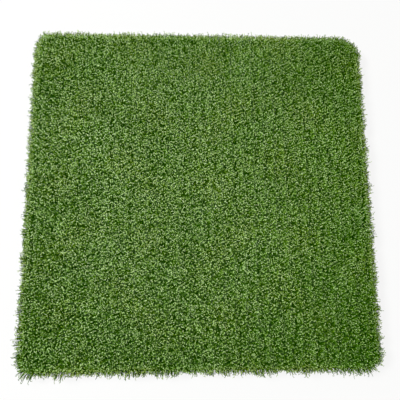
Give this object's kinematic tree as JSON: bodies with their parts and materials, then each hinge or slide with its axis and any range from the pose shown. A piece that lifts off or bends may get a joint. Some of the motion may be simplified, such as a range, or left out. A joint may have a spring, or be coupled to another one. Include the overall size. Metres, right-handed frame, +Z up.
{
  "type": "golf hitting mat",
  "caption": "Square hitting mat of dense curly green turf, with hand-snipped corners, on a woven backing set in latex over a thin foam cushion.",
  "frame": {"origin": "centre of the underside, where the mat rests on the floor", "axes": "+Z up out of the pile, +Y along the tuft rows away from the near edge, +X across the rows to the right"},
  "size_m": [0.3108, 0.3108, 0.02],
  "materials": {
    "yarn": "curled nylon yarn, soft sheen",
    "backing": "dark woven cloth, matte",
    "latex": "cured coating, satin",
    "adhesive": "thin glue line, satin",
    "foam": "closed-cell foam, matte"
  },
  "bodies": {
    "root": {"foam_base": "foam", "adhesive_film": "adhesive", "latex_coating": "latex", "lower_backing_ply": "backing", "upper_backing_ply": "backing", "tuft_row_01": "yarn", "tuft_row_02": "yarn", "tuft_row_03": "yarn", "tuft_row_04": "yarn", "tuft_row_05": "yarn", "tuft_row_06": "yarn", "tuft_row_07": "yarn", "tuft_row_08": "yarn", "tuft_row_09": "yarn", "tuft_row_10": "yarn", "tuft_row_11": "yarn", "tuft_row_12": "yarn", "tuft_row_13": "yarn", "tuft_row_14": "yarn", "tuft_row_15": "yarn", "tuft_row_16": "yarn", "tuft_row_17": "yarn", "tuft_row_18": "yarn", "tuft_row_19": "yarn", "tuft_row_20": "yarn", "tuft_row_21": "yarn", "tuft_row_22": "yarn", "tuft_row_23": "yarn", "tuft_row_24": "yarn", "tuft_row_25": "yarn", "tuft_row_26": "yarn", "tuft_row_27": "yarn", "tuft_row_28": "yarn", "tuft_row_29": "yarn", "tuft_row_30": "yarn", "tuft_row_31": "yarn", "tuft_row_32": "yarn"}
  },
  "joints": []
}
